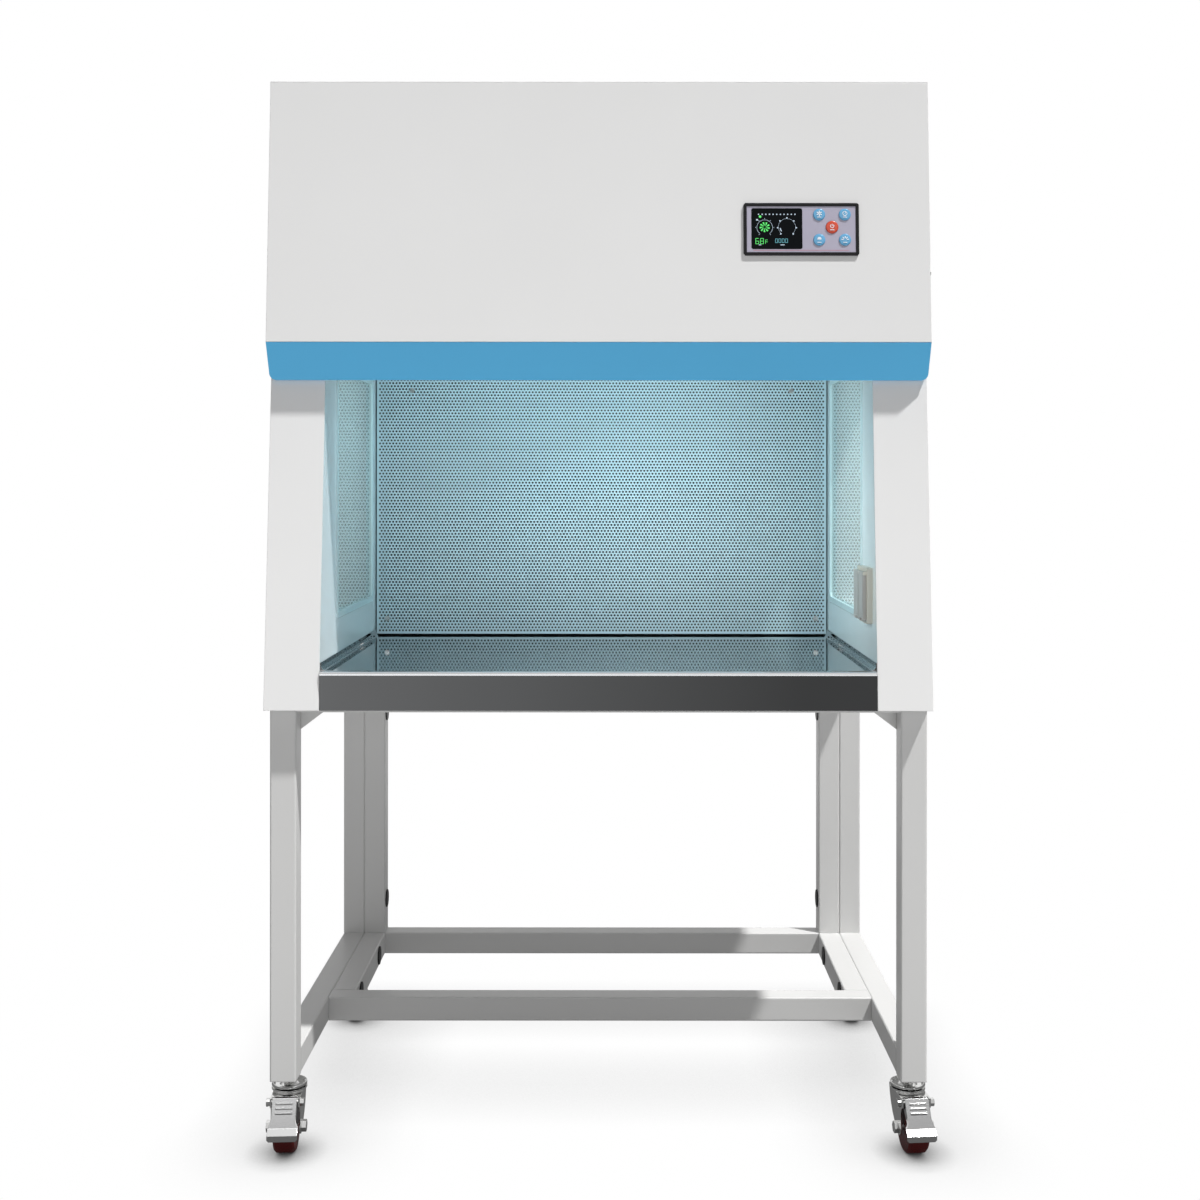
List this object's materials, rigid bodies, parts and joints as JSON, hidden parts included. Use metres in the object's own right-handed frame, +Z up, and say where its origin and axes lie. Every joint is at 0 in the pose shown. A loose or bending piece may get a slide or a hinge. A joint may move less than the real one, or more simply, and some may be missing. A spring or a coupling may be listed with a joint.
{
  "type": "horizontal laminar flow cabinet",
  "caption": "Open-fronted clean-air bench with a filtered air wall, sloping head with keypad and side windows, on a wheeled tube stand.",
  "frame": {"origin": "on the floor under the middle of the cabinet's width and depth", "axes": "+Z up, +X to the user's right, the open front faces -Y"},
  "size_m": [1.0234, 0.742, 1.6386],
  "materials": {
    "white_paint": "satin, fine texture",
    "blue_paint": "satin",
    "frame_paint": "satin",
    "polished_steel": "mirror-polished",
    "perforated_steel": "polished, perforated",
    "wall_steel": "satin",
    "glass": "clear",
    "black_rubber": "matt",
    "zinc": "bright zinc",
    "pedal_steel": "pressed, zinc grey",
    "red_wheel": "dark red, cast",
    "black_plastic": "fine grain",
    "screen": "glossy display",
    "keypad": "lilac silver film",
    "blue_key": "domed",
    "red_key": "domed",
    "beige_plastic": "moulded",
    "grey_plastic": "moulded",
    "filter_media": "fibre",
    "lamp_glass": "frosted",
    "galvanised": "galvanised",
    "board": "board"
  },
  "bodies": {
    "cabinet": {"base_pan": "white_paint", "blower_housing": "galvanised", "blower_motor": "galvanised", "caster_stems": "zinc", "ceiling_panel": "white_paint", "centre_frame": "frame_paint", "control_bezel": "black_plastic", "control_board": "board", "diffuser_plate": "perforated_steel", "display_screen": "screen", "frame_bolt_caps": "black_plastic", "frame_bolts": "zinc", "front_cross_rail": "frame_paint", "head_front_panel": "white_paint", "hepa_filter": "filter_media", "keypad_plate": "keypad", "lamp_holders": "grey_plastic", "left_inner_wall": "wall_steel", "left_side_frame": "frame_paint", "left_side_panel": "white_paint", "left_window_gasket": "black_rubber", "left_window_glass": "glass", "light_tube": "lamp_glass", "panel_screws": "zinc", "power_inlet": "black_plastic", "prefilter": "filter_media", "rear_panel": "white_paint", "right_inner_wall": "wall_steel", "right_side_frame": "frame_paint", "right_side_panel": "white_paint", "right_window_gasket": "black_rubber", "right_window_glass": "glass", "socket_box": "beige_plastic", "top_panel": "white_paint", "trim_band": "blue_paint", "tube_end_plugs": "black_plastic", "uv_tube": "lamp_glass", "worktop": "polished_steel"},
    "front_left_swivel": {"front_left_fork": "zinc", "front_left_axle": "zinc"},
    "front_left_roller": {"front_left_wheel": "red_wheel"},
    "front_left_pedal": {"front_left_brake_pedal": "pedal_steel"},
    "front_right_swivel": {"front_right_fork": "zinc", "front_right_axle": "zinc"},
    "front_right_roller": {"front_right_wheel": "red_wheel"},
    "front_right_pedal": {"front_right_brake_pedal": "pedal_steel"},
    "rear_left_swivel": {"rear_left_fork": "zinc", "rear_left_axle": "zinc"},
    "rear_left_roller": {"rear_left_wheel": "red_wheel"},
    "rear_right_swivel": {"rear_right_fork": "zinc", "rear_right_axle": "zinc"},
    "rear_right_roller": {"rear_right_wheel": "red_wheel"},
    "fan_button": {"fan_key": "blue_key"},
    "lamp_button": {"lamp_key": "blue_key"},
    "power_button": {"power_key": "red_key"},
    "socket_button": {"socket_key": "blue_key"},
    "uv_button": {"uv_key": "blue_key"},
    "front_socket_flap": {"front_socket_cover": "grey_plastic"},
    "rear_socket_flap": {"rear_socket_cover": "grey_plastic"},
    "fan_wheel": {"blower_impeller": "galvanised"}
  },
  "joints": [
    {"name": "front_left_swivel_turn", "type": "hinge", "parent": "cabinet", "child": "front_left_swivel", "pos_m": [-0.48, -0.2885, 0.0875], "axis": [0, 0, 1], "continuous": true},
    {"name": "front_left_wheel_spin", "type": "hinge", "parent": "front_left_swivel", "child": "front_left_roller", "pos_m": [-0.47833, -0.31845, 0.038], "axis": [0.9984, 0.0558, 0], "continuous": true},
    {"name": "front_left_brake", "type": "hinge", "parent": "front_left_swivel", "child": "front_left_pedal", "pos_m": [-0.47765, -0.33043, 0.079], "axis": [-0.9984, -0.0558, 0], "range_deg": [0, 25]},
    {"name": "front_right_swivel_turn", "type": "hinge", "parent": "cabinet", "child": "front_right_swivel", "pos_m": [0.48, -0.2885, 0.0875], "axis": [0, 0, 1], "continuous": true},
    {"name": "front_right_wheel_spin", "type": "hinge", "parent": "front_right_swivel", "child": "front_right_roller", "pos_m": [0.48287, -0.31836, 0.038], "axis": [0.9954, 0.0958, 0], "continuous": true},
    {"name": "front_right_brake", "type": "hinge", "parent": "front_right_swivel", "child": "front_right_pedal", "pos_m": [0.48403, -0.33031, 0.079], "axis": [-0.9954, -0.0958, 0], "range_deg": [0, 25]},
    {"name": "rear_left_swivel_turn", "type": "hinge", "parent": "cabinet", "child": "rear_left_swivel", "pos_m": [-0.48, 0.2985, 0.0875], "axis": [0, 0, 1], "continuous": true},
    {"name": "rear_left_wheel_spin", "type": "hinge", "parent": "rear_left_swivel", "child": "rear_left_roller", "pos_m": [-0.47073, 0.26997, 0.038], "axis": [0.9511, 0.309, 0], "continuous": true},
    {"name": "rear_right_swivel_turn", "type": "hinge", "parent": "cabinet", "child": "rear_right_swivel", "pos_m": [0.48, 0.2985, 0.0875], "axis": [0, 0, 1], "continuous": true},
    {"name": "rear_right_wheel_spin", "type": "hinge", "parent": "rear_right_swivel", "child": "rear_right_roller", "pos_m": [0.47634, 0.26872, 0.038], "axis": [0.9925, -0.1219, 0], "continuous": true},
    {"name": "fan_press", "type": "slide", "parent": "cabinet", "child": "fan_button", "axis": [0, 0.9968, -0.0797], "range_m": [0, 0.001], "stiffness_N_per_m": 600, "springref_m": -0.0005},
    {"name": "lamp_press", "type": "slide", "parent": "cabinet", "child": "lamp_button", "axis": [0, 0.9968, -0.0797], "range_m": [0, 0.001], "stiffness_N_per_m": 600, "springref_m": -0.0005},
    {"name": "power_press", "type": "slide", "parent": "cabinet", "child": "power_button", "axis": [0, 0.9968, -0.0797], "range_m": [0, 0.001], "stiffness_N_per_m": 600, "springref_m": -0.0005},
    {"name": "socket_press", "type": "slide", "parent": "cabinet", "child": "socket_button", "axis": [0, 0.9968, -0.0797], "range_m": [0, 0.001], "stiffness_N_per_m": 600, "springref_m": -0.0005},
    {"name": "uv_press", "type": "slide", "parent": "cabinet", "child": "uv_button", "axis": [0, 0.9968, -0.0797], "range_m": [0, 0.001], "stiffness_N_per_m": 600, "springref_m": -0.0005},
    {"name": "front_socket_flip", "type": "hinge", "parent": "cabinet", "child": "front_socket_flap", "pos_m": [0.408, -0.296, 0.8855], "axis": [0, 1, 0], "range_deg": [0, 100], "stiffness_Nm_per_rad": 0.02, "springref_deg": -17.19},
    {"name": "rear_socket_flip", "type": "hinge", "parent": "cabinet", "child": "rear_socket_flap", "pos_m": [0.408, -0.25, 0.8855], "axis": [0, 1, 0], "range_deg": [0, 100], "stiffness_Nm_per_rad": 0.02, "springref_deg": -17.19},
    {"name": "fan_spin", "type": "hinge", "parent": "cabinet", "child": "fan_wheel", "pos_m": [0, 0.17, 1.425], "axis": [1, 0, 0], "continuous": true}
  ]
}
